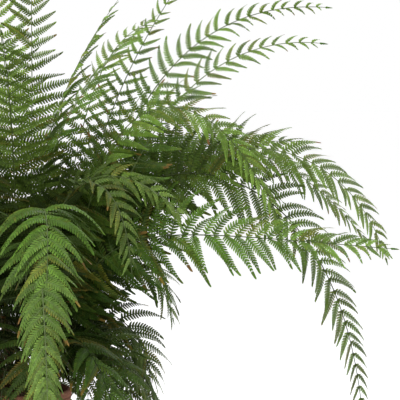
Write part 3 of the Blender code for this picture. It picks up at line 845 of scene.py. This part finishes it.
def make_crown(material):
    """The rhizome: a low knobbly dome under overlapping brown scales."""
    chance = np.random.default_rng(502)
    outer, _ = outline("rhizome_crown")
    low, high = outer[0][1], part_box("rhizome_crown")[1].z
    base, skirt = outer[0][0] - DOME_INSET, outer[1][1]
    tall = high - DOME_LOW - skirt
    steps = np.linspace(0, np.pi / 2, DOME_STEPS)
    dome = np.stack([base * np.cos(steps), skirt + tall * np.sin(steps)], 1)
    profile = np.concatenate([[[0.0, low]], [[base, low]], dome[:-1], [[0.0, dome[-1][1]]]])

    def wobble(angle, height):
        return 0.0012 * np.sin(7 * angle + 300 * height) * np.sin(3 * angle + 900 * height)

    piece = turn_profile("rhizome_root_stock", profile, material, wobble)
    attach(piece, "root")
    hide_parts("rhizome_crown")

    # The scales lie all over the dome and point up it.
    lift = np.arcsin(chance.uniform(0.02, 0.98, SCALES))[:, None]
    turn = chance.uniform(0, 2 * np.pi, SCALES)
    outward = np.stack([np.cos(turn), np.sin(turn), np.zeros(SCALES)], 1)
    upward = np.array([0, 0, 1])
    roots = outward * base * np.cos(lift) + upward * (skirt + tall * np.sin(lift))
    up = unit(outward * np.cos(lift) / base + upward * np.sin(lift) / tall)
    way = unit(-outward * 0.5 + upward + chance.normal(0, 0.35, (SCALES, 3)))
    way = unit(way - (way * up).sum(1, keepdims=True) * up * 0.75)
    across = unit(np.cross(up, way))
    lengths = chance.uniform(0.006, 0.012, SCALES)
    tints = STALK_BROWN * chance.uniform(0.6, 2.4, SCALES)[:, None]
    scales = Shape()
    add_blades(scales, roots, way, across, unit(np.cross(way, across)), lengths, lengths * 0.20,
               np.zeros(SCALES), chance.uniform(-0.1, 0.25, SCALES), tints, tints)
    surface, *_ = tinted_material("rhizome_scale", 500.0, (0.7, 1.3), (0.55, 0.8), 1600.0, 0.4, 0.0003)
    husk = scales.build("rhizome_scales", surface)
    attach(husk, "root")


# ---- materials

NOISE_LOW, NOISE_HIGH = 0.3, 0.7  # between these lies nearly all of a noise
LEAF_GLOW = 0.24  # how much of a leaf's look is light that comes through it
CLAY_COLORS = ((0.30, (0.270, 0.095, 0.052)), (0.52, (0.360, 0.140, 0.078)), (0.72, (0.450, 0.195, 0.115)))
WET_CLAY, LIME, GRIT = (0.24, 0.085, 0.048), (0.56, 0.44, 0.36), (0.20, 0.075, 0.045)
PEAT_COLORS = ((0.35, (0.012, 0.008, 0.005)), (0.60, (0.040, 0.026, 0.016)), (0.75, (0.085, 0.058, 0.036)))
BARK_COLORS = ((0.35, (0.030, 0.016, 0.008)), (0.60, (0.085, 0.045, 0.022)), (0.78, (0.160, 0.095, 0.050)))


def node_material(name):
    material = bpy.data.materials.new(name)
    material.use_nodes = True
    tree = material.node_tree
    return material, tree, tree.nodes["Principled BSDF"]


def add_node(tree, kind, **values):
    """A shader node with these values, each an input or a setting."""
    node = tree.nodes.new("ShaderNode" + kind)
    for key, value in values.items():
        if key in node.inputs:
            node.inputs[key].default_value = value
        else:
            setattr(node, key, value)
    return node


def map_range(tree, source, start, end, low, high, kind="LINEAR"):
    """A number that goes from low to high as source goes from start to end."""
    node = add_node(tree, "MapRange", interpolation_type=kind)
    for socket, value in (("From Min", start), ("From Max", end), ("To Min", low), ("To Max", high)):
        node.inputs[socket].default_value = value
    tree.links.new(source, node.inputs["Value"])
    return node.outputs["Result"]


def ramp(tree, source, low, high):
    """A number from low to high, as a noise goes from its darkest to its brightest."""
    return map_range(tree, source, NOISE_LOW, NOISE_HIGH, low, high)


def noise(tree, scale, detail, squash=1.0):
    """Soft noise in the object's own space, squashed along its height."""
    place = add_node(tree, "TexCoord")
    stretch = add_node(tree, "Mapping", Scale=(1, 1, squash))
    grain = add_node(tree, "TexNoise", Scale=scale, Detail=detail)
    tree.links.new(place.outputs["Object"], stretch.inputs["Vector"])
    tree.links.new(stretch.outputs["Vector"], grain.inputs["Vector"])
    return grain.outputs["Fac"]


def add_relief(tree, shader, *reliefs):
    """Bumps from (source, strength, distance), each on top of the one before."""
    below = None
    for source, strength, distance in reliefs:
        bump = add_node(tree, "Bump", Strength=strength, Distance=distance)
        tree.links.new(source, bump.inputs["Height"])
        if below is not None:
            tree.links.new(below.outputs["Normal"], bump.inputs["Normal"])
        below = bump
    tree.links.new(below.outputs["Normal"], shader.inputs["Normal"])


def tinted_material(name, scale, tones, rough, grain_scale, strength, distance):
    """A surface whose colour comes from its mesh, mottled by noise, with a fine grain."""
    material, tree, shader = node_material(name)
    tint = add_node(tree, "Attribute", attribute_name="tint")
    mottle = noise(tree, scale, 3.0)
    shade = add_node(tree, "VectorMath", operation="SCALE")
    tree.links.new(tint.outputs["Color"], shade.inputs[0])
    tree.links.new(ramp(tree, mottle, *tones), shade.inputs["Scale"])
    tree.links.new(shade.outputs["Vector"], shader.inputs["Base Color"])
    tree.links.new(ramp(tree, mottle, *rough), shader.inputs["Roughness"])
    add_relief(tree, shader, (noise(tree, grain_scale, 2.0), strength, distance))
    return material, tree, shader, shade.outputs["Vector"]


def leaf_material():
    """Satin leaf that lets some light through."""
    material, tree, shader, tint = tinted_material(
        "fern_leaf", 130.0, (0.78, 1.24), (0.42, 0.60), 900.0, 0.25, 0.0003)
    shader.inputs["Specular IOR Level"].default_value = 0.15
    glow = add_node(tree, "BsdfTranslucent")
    tree.links.new(tint, glow.inputs["Color"])
    blend = add_node(tree, "MixShader", Fac=LEAF_GLOW)
    tree.links.new(shader.outputs["BSDF"], blend.inputs[1])
    tree.links.new(glow.outputs["BSDF"], blend.inputs[2])
    tree.links.new(blend.outputs["Shader"], tree.nodes["Material Output"].inputs["Surface"])
    return material


def mixed_color(tree, source, colors):
    """A colour ramp over source, from (place, colour) stops."""
    band = add_node(tree, "ValToRGB")
    elements = band.color_ramp.elements
    while len(elements) < len(colors):
        elements.new(0.5)
    for element, (place, value) in zip(elements, colors):
        element.position = place
        element.color = (*value, 1)
    tree.links.new(source, band.inputs["Fac"])
    return band.outputs["Color"]


def blend_colors(tree, share, first, second):
    """From the first colour, a socket, to the second, a plain value, by share."""
    node = add_node(tree, "Mix", data_type="RGBA")
    sockets = {item.identifier: item for item in node.inputs}
    tree.links.new(share, sockets["Factor_Float"])
    tree.links.new(first, sockets["A_Color"])
    sockets["B_Color"].default_value = (*second, 1)
    return next(item for item in node.outputs if item.identifier == "Result_Color")


def terracotta_material():
    """Unglazed clay: patchy red-brown with darker level bands, fine grit, and a dusty bloom low down."""
    material, tree, shader = node_material("terracotta")
    place = add_node(tree, "TexCoord")
    split = add_node(tree, "SeparateXYZ")
    tree.links.new(place.outputs["Object"], split.inputs["Vector"])
    clay = mixed_color(tree, noise(tree, 14.0, 4.0), CLAY_COLORS)
    clay = blend_colors(tree, ramp(tree, noise(tree, 16.0, 3.0, 5.0), 0.0, 0.16), clay, WET_CLAY)
    bloom = add_node(tree, "Math", operation="MULTIPLY")
    tree.links.new(map_range(tree, split.outputs["Z"], 0.0, RIM.z, 0.55, 0.12), bloom.inputs[0])
    tree.links.new(ramp(tree, noise(tree, 30.0, 6.0), 0.0, 1.0), bloom.inputs[1])
    clay = blend_colors(tree, bloom.outputs["Value"], clay, LIME)
    clay = blend_colors(tree, ramp(tree, noise(tree, 420.0, 2.0), -0.4, 0.5), clay, GRIT)
    tree.links.new(clay, shader.inputs["Base Color"])
    tree.links.new(ramp(tree, noise(tree, 60.0, 3.0), 0.72, 0.94), shader.inputs["Roughness"])
    shader.inputs["Specular IOR Level"].default_value = 0.30
    add_relief(tree, shader, (noise(tree, 90.0, 5.0), 0.35, 0.0008), (noise(tree, 900.0, 3.0), 0.45, 0.0003))
    return material


def earth_material(name, colors, scale, strength):
    """Rough dark matter, with its colour and relief from two sizes of noise."""
    material, tree, shader = node_material(name)
    place = add_node(tree, "TexCoord")
    coarse = noise(tree, scale, 6.0)
    fine = add_node(tree, "TexVoronoi", Scale=scale * 4)
    tree.links.new(place.outputs["Object"], fine.inputs["Vector"])
    tree.links.new(mixed_color(tree, coarse, colors), shader.inputs["Base Color"])
    tree.links.new(ramp(tree, coarse, 0.80, 1.0), shader.inputs["Roughness"])
    shader.inputs["Specular IOR Level"].default_value = 0.15
    add_relief(tree, shader, (coarse, strength, 0.002), (fine.outputs["Distance"], strength, 0.001))
    return material


# ---- the floor, the light and the camera

FLOOR_ALBEDO = 0.42
FLOOR_REACH = 30.0  # from the middle to its sides
CEILING = 0.40  # brightness of the studio's ceiling, where its walls are 1
AMBIENT = 0.60  # what the walls and the ceiling shed on the floor together

VIEW_WIDTH = 0.68  # across the picture, at the plant's middle
VIEW_ASIDE, VIEW_ABOVE = 0.3094, 0.323  # from the rim's middle to the picture's
CAMERA_DISTANCE = 3.7
CAMERA_ELEVATION = 4.0  # degrees


def make_stage():
    """A pale floor that glows, painted light that brightens it to white away from the plant, as in a studio's
    cove.
    """
    mesh = bpy.data.meshes.new("floor")
    corners = [(x * FLOOR_REACH, y * FLOOR_REACH, 0) for x, y in ((-1, -1), (1, -1), (1, 1), (-1, 1))]
    mesh.from_pydata(corners, [], [(0, 1, 2, 3)])
    material, tree, shader = node_material("floor")
    shader.inputs["Base Color"].default_value = (*3 * (FLOOR_ALBEDO,), 1)
    shader.inputs["Roughness"].default_value = 0.9
    shader.inputs["Specular IOR Level"].default_value = 0.1
    shader.inputs["Emission Color"].default_value = (1, 1, 1, 1)
    place = add_node(tree, "TexCoord")
    away = add_node(tree, "VectorMath", operation="LENGTH")
    tree.links.new(place.outputs["Object"], away.inputs[0])
    # Painted light: the floor glows, not at all near the plant and enough far off to look white.
    glow = map_range(tree, away.outputs["Value"], 0.5, 2.2, 0.0, 1.0 - FLOOR_ALBEDO * AMBIENT, "SMOOTHSTEP")
    tree.links.new(glow, shader.inputs["Emission Strength"])
    mesh.materials.append(material)
    floor = new_object("floor", mesh)


def add_area_light(name, place, target, size, power):
    data = bpy.data.lights.new(name, "AREA")
    data.shape = "DISK"
    data.size = size
    data.energy = power
    lamp = new_object(name, data)
    lamp.location = place
    lamp.rotation_euler = (Vector(target) - Vector(place)).to_track_quat("-Z", "Y").to_euler()


def make_light():
    """White walls all round, a dimmer ceiling, a large soft lamp in front and a smaller one behind."""
    world = bpy.data.worlds.new("studio")
    world.use_nodes = True
    tree = world.node_tree
    background = tree.nodes["Background"]
    background.inputs["Color"].default_value = (1.0, 1.0, 1.0, 1)
    place = add_node(tree, "TexCoord")
    split = add_node(tree, "SeparateXYZ")
    tree.links.new(place.outputs["Generated"], split.inputs["Vector"])
    dimming = map_range(tree, split.outputs["Z"], 0.20, 0.75, 1.0, CEILING, "SMOOTHSTEP")
    tree.links.new(dimming, background.inputs["Strength"])
    bpy.context.scene.world = world
    middle = (0.0, 0.0, 0.75)
    add_area_light("key", (-1.5, -2.2, 3.6), middle, 1.5, 150)
    add_area_light("back", (1.8, 2.4, 3.2), middle, 1.8, 70)


def make_camera():
    """Nearly level, looking at the plant's upper right half."""
    elevation = math.radians(CAMERA_ELEVATION)
    data = bpy.data.cameras.new("camera")
    data.sensor_width = 36.0
    data.lens = data.sensor_width * CAMERA_DISTANCE / VIEW_WIDTH
    camera = new_object("camera", data)
    target = Vector((VIEW_ASIDE, 0, RIM.z + VIEW_ABOVE))
    camera.location = target + Vector((0, -math.cos(elevation), math.sin(elevation))) * CAMERA_DISTANCE
    camera.rotation_euler = (math.pi / 2 - elevation, 0, 0)
    bpy.context.scene.camera = camera


def main():
    bpy.context.scene.view_settings.view_transform = "Standard"
    make_camera()
    make_vase(terracotta_material())
    make_soil(earth_material("peat", PEAT_COLORS, 180.0, 0.9))
    make_crown(earth_material("rhizome_bark", BARK_COLORS, 120.0, 0.8))
    leaf = leaf_material()
    fronds = sorted(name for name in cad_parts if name.startswith("frond_"))
    for number, name in enumerate(fronds):
        make_frond(number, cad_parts[name], leaf)
    make_stage()
    make_light()


main()
